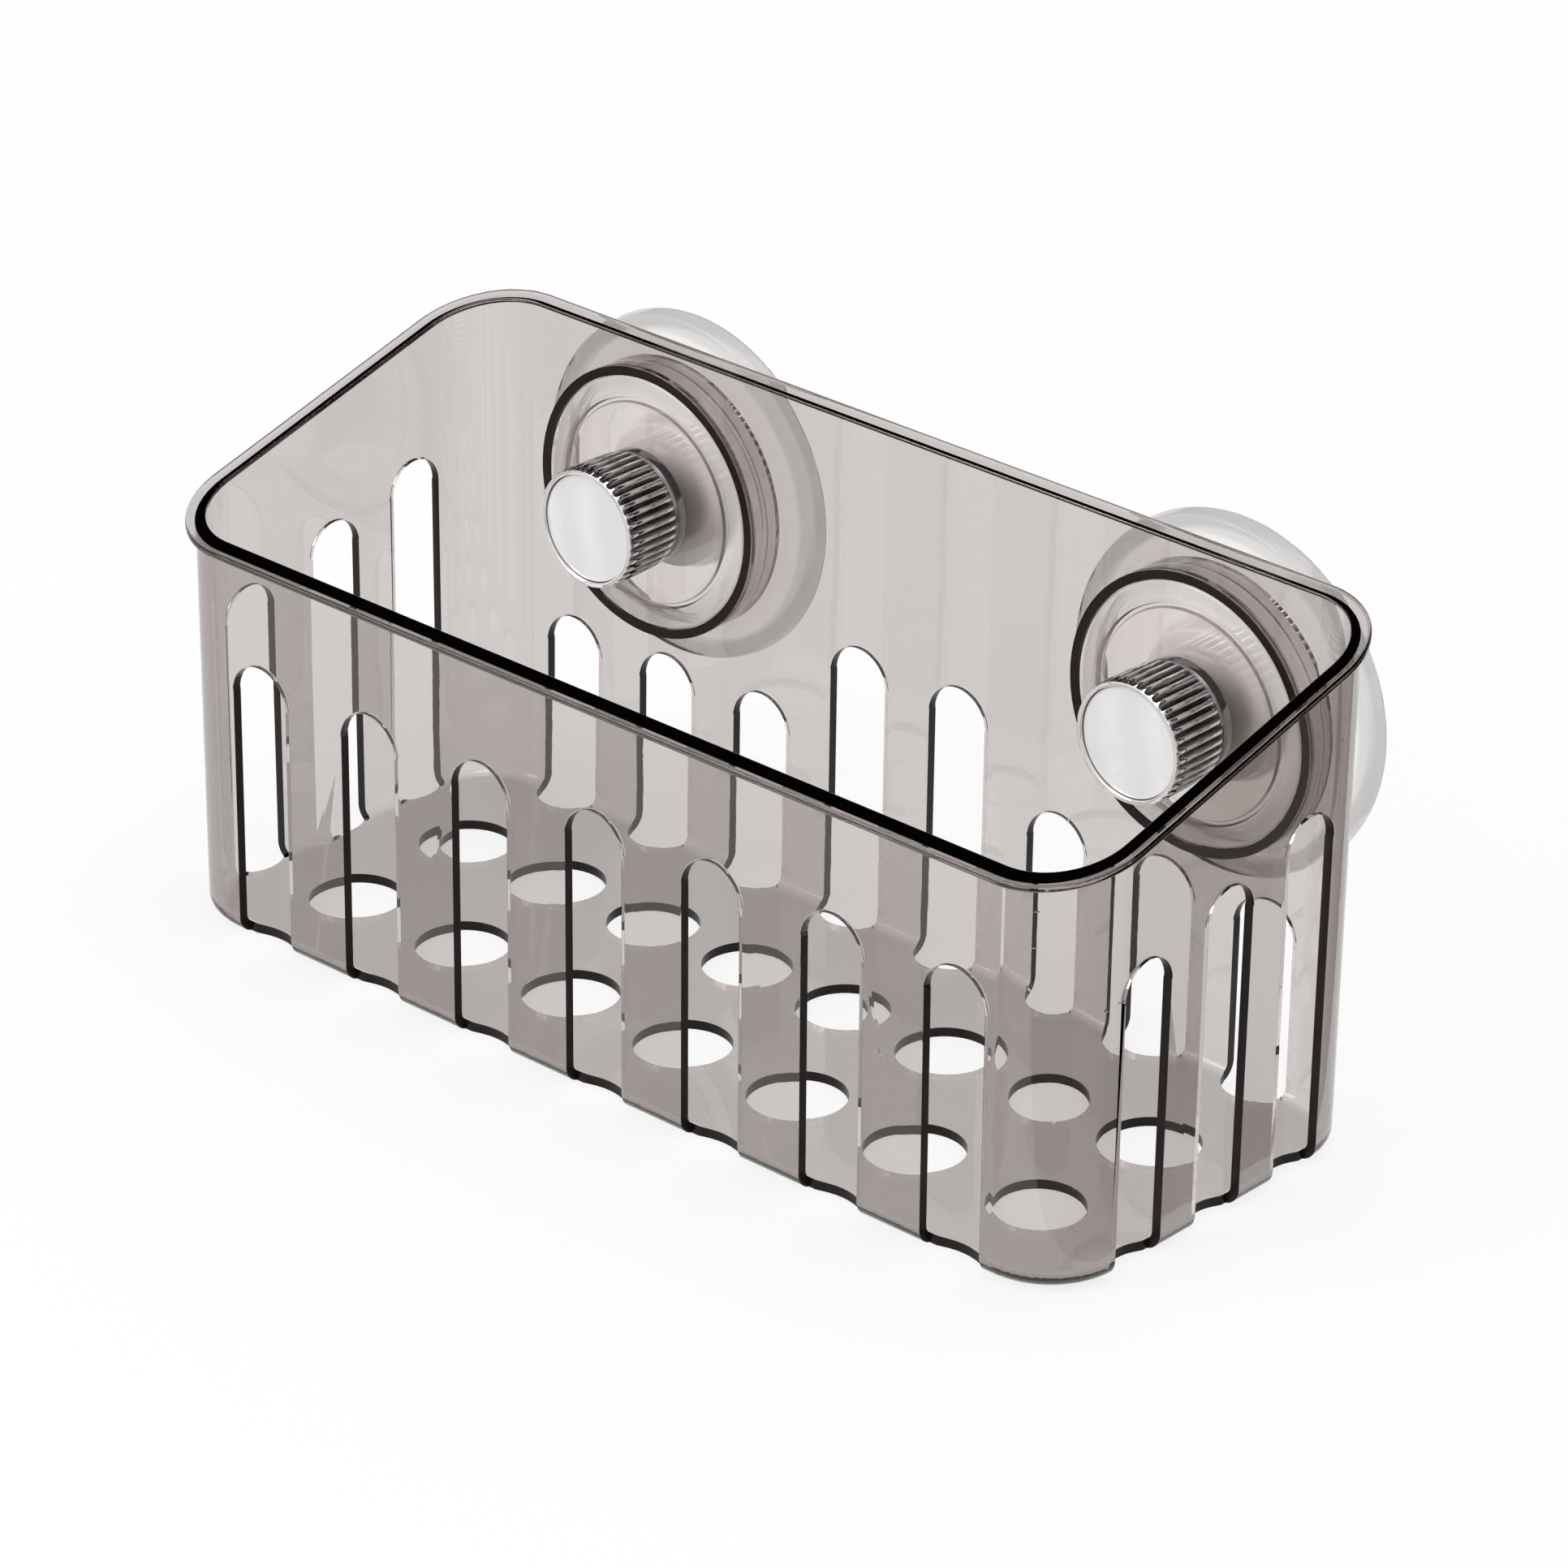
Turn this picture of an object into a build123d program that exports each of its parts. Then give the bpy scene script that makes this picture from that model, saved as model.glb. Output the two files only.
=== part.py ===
from build123d import *
from math import cos, radians, sin, tan
import os

# Kitchen sink caddy: a slotted, see-through basket that hangs on two screw-down suction units.
# Millimetres. X runs along the basket, Y from the open front to the wall behind, Z up.
# The origin is the middle of the basket's underside.

# Basket shell
overall_width = 240.0       # lip to lip along X
overall_depth = 96.8        # lip to lip along Y
rim_height = 97.05          # rim over the middle of the floor
rim_tilt = 15.0             # degrees the rim climbs towards the back
side_draft = 0.45           # degrees
front_draft = 0.2           # degrees, front and back walls
wall = 2.0
floor_thickness = 2.0
corner_radius = 17.0        # outside, in plan
foot_radius = 4.0           # outside, where the walls turn into the floor

# Rim lip, standing out all round and flush with the inside
lip_out = 2.5
lip_height = 2.3
lip_round = 0.9

# Slots: each runs down its wall, round the foot and a little way into the floor
front_slots = 7
front_slot_pitch_share = 0.1255     # of the overall width
front_slot_width = 14.6
front_slot_top = 61.5
front_notch = 2.4           # reach into the floor from the inside of the wall
back_slots = 8
back_slot_pitch_share = 0.1083      # of the overall width
back_slot_width = 14.4
back_slot_top = 41.8        # those beside and under the suction units
middle_slot_top = 60.3      # those between the suction units
middle_slots = 2
back_notch = 6.7
side_slots = 3
side_slot_pitch_share = 0.2376      # of the overall depth
side_slot_width = 12.9
side_slot_top = 70.2        # the middle slot of each side wall
side_notch = 2.8
wall_bite = 1.0             # how far a slot's cut runs past the inside of the wall

# Drain holes in the floor, one row in front of the other
hole_radius = 9.5
front_hole_row = -20.0
back_hole_row = 12.5

# Suction units. Places along a unit's axis count from the front of its collar, back is plus.
suction_spacing_share = 0.5867      # of the overall width
suction_height = 74.2
collar_radius = 28.8
collar_wall = 1.9
collar_depth = 9.4
collar_proud = 0.44         # collar and disc stand in front of the back wall's inside
slip_gap = 0.15             # housing inside the collar
seat_gap = 0.05             # faces that lie against each other
soft_gap = 0.25             # soft pad to what it lies against
catch_place = 5.6           # snap ring, its front edge
catch_width = 1.4
catch_height = 0.4

# Housing: clear pressure disc with a skirt, and a flange behind the collar
plate_thickness = 2.4
plate_bevel = 0.4
skirt_wall = 2.0
flange_radius = 30.4
flange_thickness = 1.2
groove_radius = 21.3        # inner edge of the ring groove in the disc
groove_width = 1.0
groove_depth = 0.5

# Stud, round where the knob's nut runs and square where it slides in the housing
stud_radius = 3.0
stud_front = 10.4           # its tip stands this far in front of the housing
stud_bevel = 0.8
shank_side = 7.0
shank_front = 0.3
shank_gap = 0.15
head_front = 7.6
head_radius = 10.0
head_thickness = 2.0

# Suction pad, moulded around the stud's head
pad_radius = 36.9
pad_edge = 3.9              # height of the pad's rim
pad_taper = 0.7             # the rim's front edge is this much smaller in radius
pad_land = 3.4              # flat ring that meets the wall
pad_hollow = 1.9            # depth of the dish at its middle
boss_radius = 16.0
boss_taper = 0.8
boss_cover = 1.5            # pad in front of the stud's head
mould_gap = 0.1             # pad around the stud's head and shank

# Knob
knob_radius = 12.3
knob_back_radius = 11.9
knob_length = 17.3
knob_clear = 0.3            # knob's back edge to the housing
knob_wall = 1.4
knob_bevel = 0.35
knob_skirt = 3.2            # smooth band at the back end
knob_face_wall = 1.6
ridge_count = 36
ridge_out = 0.4
ridge_sink = 0.3            # how deep a ridge is rooted in the knob
ridge_width = 1.0
face_rim = 0.9              # rim around the cap
cap_recess = 0.7            # cap lies this far behind the rim
cap_thickness = 0.8
cap_gap = 0.1
cap_bevel = 0.25
nut_flats = 11.0
nut_front = 9.6             # its front face stands this far in front of the housing
nut_length = 6.0
nut_gap = 0.05              # nut in its pocket
thread_gap = 0.06           # stud in the nut
nut_wall = 1.6              # knob's middle boss around the nut
stud_room = 0.8             # knob's boss around the stud's tip
rib_count = 6
rib_thickness = 1.2
rib_back = 3.0              # ribs end this far inside the knob's back edge
washer_thickness = 0.8
washer_radius = 9.0
washer_gap = 0.35           # washer to the knob's boss and to the shank's corners

overrun = 4.0               # how far cuts run past what they cut

# Worked-out sizes
half_width = overall_width / 2
front_slot_pitch = overall_width * front_slot_pitch_share
back_slot_pitch = overall_width * back_slot_pitch_share
side_slot_pitch = overall_depth * side_slot_pitch_share
suction_spacing = overall_width * suction_spacing_share
half_depth = overall_depth / 2
blank_height = rim_height + half_depth * tan(radians(rim_tilt)) + overrun
foot_half_width = half_width - lip_out - rim_height * tan(radians(side_draft))
foot_half_depth = half_depth - lip_out - rim_height * tan(radians(front_draft))
inner_half_width = foot_half_width - wall
inner_half_depth = foot_half_depth - wall
side_slot_step = side_slot_pitch * tan(radians(rim_tilt))
collar_front = inner_half_depth + suction_height * tan(radians(front_draft)) - collar_proud
rim_plane = Plane((0, 0, rim_height), x_dir=(1, 0, 0), z_dir=(0, -sin(radians(rim_tilt)), cos(radians(rim_tilt))))
sides = {"left": -suction_spacing / 2, "right": suction_spacing / 2}

os.makedirs("parts", exist_ok=True)


def save(piece, label):
    piece.part.label = label
    export_step(piece.part, f"parts/{label}.step")


def spread(count, pitch):
    """Evenly spaced places about the middle."""
    return [(i - (count - 1) / 2) * pitch for i in range(count)]


def wall_outline(height, inset):
    """Plan outline of the drafted walls at a height, drawn in by an inset."""
    width = 2 * (foot_half_width + height * tan(radians(side_draft)) - inset)
    depth = 2 * (foot_half_depth + height * tan(radians(front_draft)) - inset)
    RectangleRounded(width, depth, corner_radius - inset)


def slot_cutter(place, inward, width, top, reach):
    """One slot: a window with a half-round top, and an arc that ends it in the floor.

    place is at the floor on the wall's inside, and inward points to the basket's middle.
    """
    across = inward.cross(Vector(0, 0, 1))
    spring = top - width / 2
    with BuildPart() as cutter:
        with BuildSketch(Plane(place + inward * wall_bite, x_dir=across, z_dir=-inward)):
            with BuildLine():
                Polyline((-width / 2, spring), (-width / 2, -overrun), (width / 2, -overrun), (width / 2, spring))
                ThreePointArc((width / 2, spring), (0, top), (-width / 2, spring))
            make_face()
        extrude(amount=wall_bite + wall + lip_out + overrun)
        with BuildSketch(Plane(place, x_dir=across, z_dir=(0, 0, 1)).offset(-overrun)):
            with BuildLine():
                Polyline((-width / 2, 0), (-width / 2, -overrun), (width / 2, -overrun), (width / 2, 0))
                ThreePointArc((width / 2, 0), (0, reach), (-width / 2, 0))
            make_face()
        extrude(amount=overrun + floor_thickness + overrun)
    return cutter.part


def catch_outline(radius, room):
    """Half section of the snap ring on a cylinder of a radius, with room added all round."""
    tall = catch_height + room
    long = catch_width / 2 + room
    with Locations((radius, catch_place + catch_width / 2)):
        Polygon((0, -long), (tall, 0), (0, long), (-tall, 0), align=None)


front_cutters = [
    slot_cutter(Vector(x, -inner_half_depth, 0), Vector(0, 1, 0), front_slot_width, front_slot_top, front_notch)
    for x in spread(front_slots, front_slot_pitch)
]

back_places = spread(back_slots, back_slot_pitch)
middle_reach = middle_slots / 2 * back_slot_pitch
back_cutters = [
    slot_cutter(
        Vector(x, inner_half_depth, 0),
        Vector(0, -1, 0),
        back_slot_width,
        middle_slot_top if abs(x) < middle_reach else back_slot_top,
        back_notch,
    )
    for x in back_places
]

side_cutters = []
for step, y in enumerate(spread(side_slots, side_slot_pitch)):
    top = side_slot_top + (step - (side_slots - 1) / 2) * side_slot_step
    for side in (-1, 1):
        start = Vector(side * inner_half_width, y, 0)
        side_cutters.append(slot_cutter(start, Vector(-side, 0, 0), side_slot_width, top, side_notch))

# Basket: drafted shell, tilted rim lip, two collars through the back wall, slots and drain holes.
with BuildPart() as cavity:
    with BuildSketch(Plane.XY.offset(floor_thickness)):
        wall_outline(floor_thickness, wall)
    with BuildSketch(Plane.XY.offset(blank_height + overrun)):
        wall_outline(blank_height + overrun, wall)
    loft(ruled=True)
    fillet(cavity.faces().sort_by(Axis.Z)[0].edges(), foot_radius - wall)

with BuildPart() as lip:
    with BuildSketch():
        RectangleRounded(overall_width, overall_depth, corner_radius + lip_out)
    extrude(amount=blank_height)
    split(bisect_by=rim_plane, keep=Keep.BOTTOM)
    split(bisect_by=rim_plane.offset(-lip_height), keep=Keep.TOP)
    fillet(lip.edges().filter_by(Axis.Z, reverse=True), lip_round)

with BuildPart() as basket:
    with BuildSketch():
        wall_outline(0, 0)
    with BuildSketch(Plane.XY.offset(blank_height)):
        wall_outline(blank_height, 0)
    loft(ruled=True)
    fillet(basket.faces().sort_by(Axis.Z)[0].edges(), foot_radius)
    split(bisect_by=rim_plane, keep=Keep.BOTTOM)
    add(lip.part)
    add(cavity.part, mode=Mode.SUBTRACT)
    for x in sides.values():
        with BuildSketch(Plane((x, collar_front, suction_height), x_dir=(1, 0, 0), z_dir=(0, 1, 0))):
            Circle(collar_radius)
        extrude(amount=collar_depth)
        with BuildSketch(Plane((x, collar_front - overrun, suction_height), x_dir=(1, 0, 0), z_dir=(0, 1, 0))):
            Circle(collar_radius - collar_wall)
        extrude(amount=collar_depth + 2 * overrun, mode=Mode.SUBTRACT)
    for x in sides.values():
        with BuildSketch(Plane((x, collar_front, suction_height))):
            catch_outline(collar_radius - collar_wall, slip_gap)
        revolve(axis=Axis((x, collar_front, suction_height), (0, 1, 0)), mode=Mode.SUBTRACT)
    add(front_cutters + back_cutters + side_cutters, mode=Mode.SUBTRACT)
    holes = [(x, front_hole_row) for x in spread(front_slots, front_slot_pitch)]
    holes += [(x, back_hole_row) for x in back_places]
    with BuildSketch(Plane.XY.offset(-overrun)):
        with Locations(*holes):
            Circle(hole_radius)
    extrude(amount=2 * overrun + floor_thickness, mode=Mode.SUBTRACT)
save(basket, "basket")

# Suction units. Half sections are drawn as (radius, place along the axis) and turned about the axis.
disc_radius = collar_radius - collar_wall - slip_gap
skirt_radius = disc_radius - skirt_wall
flange_front = collar_depth + seat_gap
housing_back = flange_front + flange_thickness
pad_front = housing_back + soft_gap
pad_back = pad_front + pad_edge
boss_front = head_front - boss_cover
knob_back = -knob_clear
knob_front = knob_back - knob_length
cap_front = knob_front + cap_recess
cap_back = cap_front + cap_thickness
face_back = cap_back + cap_gap + knob_face_wall
cap_pocket_radius = knob_radius - face_rim
washer_back = -seat_gap
washer_front = washer_back - washer_thickness
nut_boss_back = washer_front - washer_gap
pocket_flats = nut_flats + 2 * nut_gap
nut_boss_radius = pocket_flats / 2 / cos(radians(30)) + nut_wall
shank_corner = shank_side / 2 / cos(radians(45))


def across_axis(x, place):
    """Plane square to a unit's axis, facing back."""
    return Plane((x, collar_front + place, suction_height), x_dir=(1, 0, 0), z_dir=(0, 1, 0))


for side, x in sides.items():
    section = Plane((x, collar_front, suction_height))
    axis = Axis((x, collar_front, suction_height), (0, 1, 0))

    with BuildPart() as suction_housing:
        with BuildSketch(section):
            Polygon(
                (0, 0),
                (disc_radius - plate_bevel, 0),
                (disc_radius, plate_bevel),
                (disc_radius, flange_front),
                (flange_radius, flange_front),
                (flange_radius, housing_back),
                (skirt_radius, housing_back),
                (skirt_radius, plate_thickness),
                (0, plate_thickness),
                align=None,
            )
            catch_outline(disc_radius, 0)
        revolve(axis=axis)
        with BuildSketch(across_axis(x, 0)):
            Circle(groove_radius + groove_width)
            Circle(groove_radius, mode=Mode.SUBTRACT)
        extrude(amount=groove_depth, mode=Mode.SUBTRACT)
        with BuildSketch(across_axis(x, -overrun)):
            Rectangle(shank_side + 2 * shank_gap, shank_side + 2 * shank_gap)
        extrude(amount=overrun + plate_thickness + overrun, mode=Mode.SUBTRACT)
    save(suction_housing, f"suction_housing_{side}")

    with BuildPart() as pull_stud:
        with BuildSketch(section):
            Polygon(
                (0, -stud_front),
                (stud_radius - stud_bevel, -stud_front),
                (stud_radius, stud_bevel - stud_front),
                (stud_radius, head_front),
                (head_radius, head_front),
                (head_radius, head_front + head_thickness),
                (0, head_front + head_thickness),
                align=None,
            )
        revolve(axis=axis)
        with BuildSketch(across_axis(x, shank_front)):
            Rectangle(shank_side, shank_side)
        extrude(amount=head_front - shank_front)
    save(pull_stud, f"pull_stud_{side}")

    with BuildPart() as suction_pad:
        with BuildSketch(section):
            with BuildLine():
                Polyline(
                    (0, pad_back - pad_hollow),
                    (0, boss_front),
                    (boss_radius - boss_taper, boss_front),
                    (boss_radius, pad_front),
                    (pad_radius - pad_taper, pad_front),
                    (pad_radius, pad_back),
                    (pad_radius - pad_land, pad_back),
                )
                dish_half = pad_radius - pad_land
                dish_radius = (dish_half**2 + pad_hollow**2) / (2 * pad_hollow)
                RadiusArc((dish_half, pad_back), (0, pad_back - pad_hollow), dish_radius)
            make_face()
        revolve(axis=axis)
        with BuildSketch(across_axis(x, head_front - mould_gap)):
            Circle(head_radius + mould_gap)
        extrude(amount=head_thickness + 2 * mould_gap, mode=Mode.SUBTRACT)
        with BuildSketch(across_axis(x, boss_front - overrun)):
            Rectangle(shank_side + 2 * mould_gap, shank_side + 2 * mould_gap)
        extrude(amount=overrun + boss_cover, mode=Mode.SUBTRACT)
    save(suction_pad, f"suction_pad_{side}")

    with BuildPart() as slip_washer:
        with BuildSketch(across_axis(x, washer_front)):
            Circle(washer_radius)
            Circle(shank_corner + washer_gap, mode=Mode.SUBTRACT)
        extrude(amount=washer_thickness)
    save(slip_washer, f"slip_washer_{side}")

    with BuildPart() as ridge:
        with BuildSketch(section):
            Polygon(
                (knob_radius - ridge_sink, knob_front + knob_bevel),
                (knob_radius + ridge_out, knob_front + knob_bevel),
                (knob_back_radius + ridge_out, knob_back - knob_skirt),
                (knob_back_radius - ridge_sink, knob_back - knob_skirt),
                align=None,
            )
        extrude(amount=ridge_width / 2, both=True)
    ridges = [ridge.part.rotate(axis, turn * 360 / ridge_count) for turn in range(ridge_count)]

    with BuildPart() as knob:
        with BuildSketch(section):
            Polygon(
                (0, knob_front),
                (knob_radius - knob_bevel, knob_front),
                (knob_radius, knob_front + knob_bevel),
                (knob_back_radius, knob_back),
                (knob_back_radius - knob_wall, knob_back),
                (knob_radius - knob_wall, face_back),
                (0, face_back),
                align=None,
            )
        revolve(axis=axis)
        with BuildSketch(across_axis(x, face_back)):
            Circle(nut_boss_radius)
            with PolarLocations(0, rib_count):
                Rectangle(knob_back_radius - knob_wall / 2, rib_thickness, align=(Align.MIN, Align.CENTER))
        extrude(amount=knob_back - rib_back - face_back)
        with BuildSketch(across_axis(x, face_back)):
            Circle(nut_boss_radius)
        extrude(amount=nut_boss_back - face_back)
        with BuildSketch(across_axis(x, face_back)):
            Circle(stud_radius + stud_room)
        extrude(amount=nut_boss_back - face_back, mode=Mode.SUBTRACT)
        with BuildSketch(across_axis(x, -nut_front)):
            RegularPolygon(pocket_flats / 2, 6, major_radius=False)
        extrude(amount=nut_front, mode=Mode.SUBTRACT)
        with BuildSketch(across_axis(x, knob_front - overrun)):
            Circle(cap_pocket_radius)
        extrude(amount=overrun + cap_recess + cap_thickness + cap_gap, mode=Mode.SUBTRACT)
        add(ridges)
    save(knob, f"knob_{side}")

    with BuildPart() as knob_cap:
        with BuildSketch(across_axis(x, cap_front)):
            Circle(cap_pocket_radius - cap_gap)
        extrude(amount=cap_thickness)
        chamfer(knob_cap.faces().sort_by(Axis.Y)[0].edges(), cap_bevel)
    save(knob_cap, f"knob_cap_{side}")

    with BuildPart() as knob_nut:
        with BuildSketch(across_axis(x, -nut_front)):
            RegularPolygon(nut_flats / 2, 6, major_radius=False)
        extrude(amount=nut_length)
        with BuildSketch(across_axis(x, -nut_front)):
            Circle(stud_radius + thread_gap)
        extrude(amount=nut_length, mode=Mode.SUBTRACT)
    save(knob_nut, f"knob_nut_{side}")
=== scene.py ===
import bmesh
import bpy
import numpy as np
from mathutils import Matrix, Vector


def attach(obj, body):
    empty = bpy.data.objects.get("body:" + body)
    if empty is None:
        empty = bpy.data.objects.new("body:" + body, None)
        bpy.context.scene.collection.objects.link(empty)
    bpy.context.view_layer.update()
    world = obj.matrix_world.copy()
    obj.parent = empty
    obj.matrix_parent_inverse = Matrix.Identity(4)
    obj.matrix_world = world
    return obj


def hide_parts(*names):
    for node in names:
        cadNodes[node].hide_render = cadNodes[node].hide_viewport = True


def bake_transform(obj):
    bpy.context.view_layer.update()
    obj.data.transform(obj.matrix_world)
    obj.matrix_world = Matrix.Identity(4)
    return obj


# Kitchen sink caddy: smoke grey basket, two clear pressure discs, two soft pads, two bright knobs.
# Lengths in the dictionaries are in millimetres, and the mesh functions turn them into metres.
# Places along a suction unit's axis are counted from the front of its pressure disc, and back is plus.

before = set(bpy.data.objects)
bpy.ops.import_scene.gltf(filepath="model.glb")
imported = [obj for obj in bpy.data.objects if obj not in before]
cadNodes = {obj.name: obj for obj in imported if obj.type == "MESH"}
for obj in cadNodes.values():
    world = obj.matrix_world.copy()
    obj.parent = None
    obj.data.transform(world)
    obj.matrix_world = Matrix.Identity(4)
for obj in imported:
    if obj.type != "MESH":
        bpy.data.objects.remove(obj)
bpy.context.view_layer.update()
mm = 0.001
tiny = 1e-9                                       # keeps a division clear of nought
unitPlaces = {"left": -70.404, "right": 70.404}   # suction units along the basket
unitHeight = 74.2
discFront = 43.38                                 # how far back the pressure discs' fronts lie
print("frame loaded")


# Materials

# in every look the noises' scales are per metre and their depths in millimetres,
# and depthDensity is per metre of plastic
grain = {"fineDetail": 3.0, "broadDetail": 1.0, "noiseLow": 0.3, "noiseHigh": 0.7}
coating = {"ior": 1.5, "rough": 0.02}
cutFaceShade = {"color": (0.010, 0.006, 0.005), "rough": 0.3, "gloss": 0.18}   # painted shade: cut faces painted near black, for the darkness of light lost in thick smoke plastic


def addNode(tree, kind, x=0, y=0, **settings):
    # settings are the node's own properties, such as a Math node's operation
    node = tree.nodes.new(kind)
    node.location = (x, y)
    for key, value in settings.items():
        setattr(node, key, value)
    return node


def setSockets(node, values):
    for name, value in values.items():
        node.inputs[name].default_value = value


def freshMaterial(name):
    material = bpy.data.materials.new(name)
    material.use_nodes = True
    material.node_tree.nodes.clear()
    return material, material.node_tree


def dress(thing, material):
    thing.data.materials.clear()
    thing.data.materials.append(material)


def place(name, mesh, material):
    # at the origin, unturned, with its place in its mesh
    thing = bpy.data.objects.new(name, mesh)
    bpy.context.scene.collection.objects.link(thing)
    dress(thing, material)
    return thing


def surfaceGrain(tree, look):
    # noise on the object's own coordinates: one noise for the roughness, two added up for the relief
    where = addNode(tree, "ShaderNodeTexCoord", -1100, -300)
    fine = addNode(tree, "ShaderNodeTexNoise", -900, -200)
    setSockets(fine, {"Scale": look["fineScale"], "Detail": grain["fineDetail"]})
    broad = addNode(tree, "ShaderNodeTexNoise", -900, -500)
    setSockets(broad, {"Scale": look["broadScale"], "Detail": grain["broadDetail"]})
    broadRelief = addNode(tree, "ShaderNodeBump", -600, -500)
    setSockets(broadRelief, {"Strength": 1.0, "Distance": look["broadDepth"] * mm})
    fineRelief = addNode(tree, "ShaderNodeBump", -400, -300)
    setSockets(fineRelief, {"Strength": 1.0, "Distance": look["fineDepth"] * mm})
    rough = addNode(tree, "ShaderNodeMapRange", -500, 100)
    setSockets(rough, {"From Min": grain["noiseLow"], "From Max": grain["noiseHigh"],
                       "To Min": look["roughLow"], "To Max": look["roughHigh"]})
    tree.links.new(where.outputs["Object"], fine.inputs["Vector"])
    tree.links.new(where.outputs["Object"], broad.inputs["Vector"])
    tree.links.new(fine.outputs["Fac"], rough.inputs["Value"])
    tree.links.new(broad.outputs["Fac"], broadRelief.inputs["Height"])
    tree.links.new(fine.outputs["Fac"], fineRelief.inputs["Height"])
    tree.links.new(broadRelief.outputs["Normal"], fineRelief.inputs["Normal"])
    return rough.outputs["Result"], fineRelief.outputs["Normal"]


def shadedCutFaces(tree, body, relief):
    # faces marked cutEdge on the mesh get painted shade, dark and glossy from outside, and are clear from
    # within the plastic
    mark = addNode(tree, "ShaderNodeAttribute", -500, 900, attribute_name="cutEdge")
    side = addNode(tree, "ShaderNodeNewGeometry", -500, 700)
    outside = addNode(tree, "ShaderNodeMath", -300, 700, operation="SUBTRACT")
    outside.inputs[0].default_value = 1.0
    share = addNode(tree, "ShaderNodeMath", -100, 800, operation="MULTIPLY")
    edge = addNode(tree, "ShaderNodeBsdfPrincipled", -100, 700)
    setSockets(edge, {"Base Color": (*cutFaceShade["color"], 1), "Roughness": cutFaceShade["rough"],
                      "Specular IOR Level": cutFaceShade["gloss"]})
    both = addNode(tree, "ShaderNodeMixShader", 50, 500)
    tree.links.new(side.outputs["Backfacing"], outside.inputs[1])
    tree.links.new(mark.outputs["Fac"], share.inputs[0])
    tree.links.new(outside.outputs[0], share.inputs[1])
    tree.links.new(relief, edge.inputs["Normal"])
    tree.links.new(share.outputs[0], both.inputs["Fac"])
    tree.links.new(body.outputs["BSDF"], both.inputs[1])
    tree.links.new(edge.outputs["BSDF"], both.inputs[2])
    return both.outputs["Shader"]


def markedColor(tree, look, body, color):
    # a mesh attribute says where the finish takes its second colour: painted shade on the knobs and in the
    # plates' grooves, a darker band on the pads' rims
    mark = addNode(tree, "ShaderNodeAttribute", -700, 700, attribute_name=look["marked"])
    blend = addNode(tree, "ShaderNodeMix", -500, 600, data_type="RGBA")
    setSockets(blend, {"A": (*color, 1), "B": (*look["markedColor"], 1)})
    tree.links.new(mark.outputs["Fac"], blend.inputs["Factor"])
    tree.links.new(blend.outputs["Result"], body.inputs["Base Color"])


def cloudyParts(tree, look, body):
    # a mesh attribute says where the plastic is milky
    mark = addNode(tree, "ShaderNodeAttribute", -500, 500, attribute_name="cloud")
    clear = addNode(tree, "ShaderNodeMapRange", -300, 400)
    setSockets(clear, {"To Min": look["clear"], "To Max": look["cloudy"]})
    tree.links.new(mark.outputs["Fac"], clear.inputs["Value"])
    tree.links.new(clear.outputs["Result"], body.inputs["Transmission Weight"])


def seeThrough(name, look, cut=False):
    # plastic that bends light and darkens with depth, and lets the lamps' light through its shadow; with cut
    # set, its cut faces get painted shade
    material, tree = freshMaterial(name)
    rough, relief = surfaceGrain(tree, look)
    body = addNode(tree, "ShaderNodeBsdfPrincipled", -100, 200)
    setSockets(body, {"Base Color": (*look["surface"], 1), "Transmission Weight": look["clear"],
                      "IOR": look["ior"], "Coat Weight": look["coat"], "Coat IOR": coating["ior"],
                      "Coat Roughness": coating["rough"]})
    if "marked" in look:
        markedColor(tree, look, body, look["surface"])
    if "cloudy" in look:
        cloudyParts(tree, look, body)
    tree.links.new(rough, body.inputs["Roughness"])
    tree.links.new(relief, body.inputs["Normal"])
    tree.links.new(relief, body.inputs["Coat Normal"])
    through = addNode(tree, "ShaderNodeBsdfTransparent", -100, -100)
    setSockets(through, {"Color": (*look["lampTint"], 1)})
    path = addNode(tree, "ShaderNodeLightPath", -100, 500)
    mix = addNode(tree, "ShaderNodeMixShader", 200, 200)
    tree.links.new(path.outputs["Is Shadow Ray"], mix.inputs["Fac"])
    tree.links.new(shadedCutFaces(tree, body, relief) if cut else body.outputs["BSDF"], mix.inputs[1])
    tree.links.new(through.outputs["BSDF"], mix.inputs[2])
    depth = addNode(tree, "ShaderNodeVolumeAbsorption", 200, 0)
    setSockets(depth, {"Color": (*look["depthColor"], 1), "Density": look["depthDensity"]})
    out = addNode(tree, "ShaderNodeOutputMaterial", 500, 200)
    tree.links.new(mix.outputs["Shader"], out.inputs["Surface"])
    tree.links.new(depth.outputs["Volume"], out.inputs["Volume"])
    return material


def solidFinish(name, look):
    # metal or opaque plastic whose roughness and relief wander a little
    material, tree = freshMaterial(name)
    rough, relief = surfaceGrain(tree, look)
    body = addNode(tree, "ShaderNodeBsdfPrincipled", -100, 200)
    setSockets(body, {"Base Color": (*look["color"], 1), "Metallic": look["metallic"]})
    if "marked" in look:
        markedColor(tree, look, body, look["color"])
    tree.links.new(rough, body.inputs["Roughness"])
    tree.links.new(relief, body.inputs["Normal"])
    out = addNode(tree, "ShaderNodeOutputMaterial", 300, 200)
    tree.links.new(body.outputs["BSDF"], out.inputs["Surface"])
    return material


# Mesh helpers

meshCare = {"mergeWithin": 1e-7, "dropUnder": 1e-8, "sharpAngle": 35.0}    # metres, metres, degrees


def gridQuads(rows, columns, closed):
    # four corners of each cell of a grid of points, row by row; a closed grid's last column meets its first
    row, column = np.meshgrid(np.arange(rows - 1), np.arange(columns if closed else columns - 1),
                              indexing="ij")
    nextColumn = (column + 1) % columns
    corners = [row * columns + column, row * columns + nextColumn,
               (row + 1) * columns + nextColumn, (row + 1) * columns + column]
    return np.stack(corners, axis=-1).reshape(-1, 4)


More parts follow.
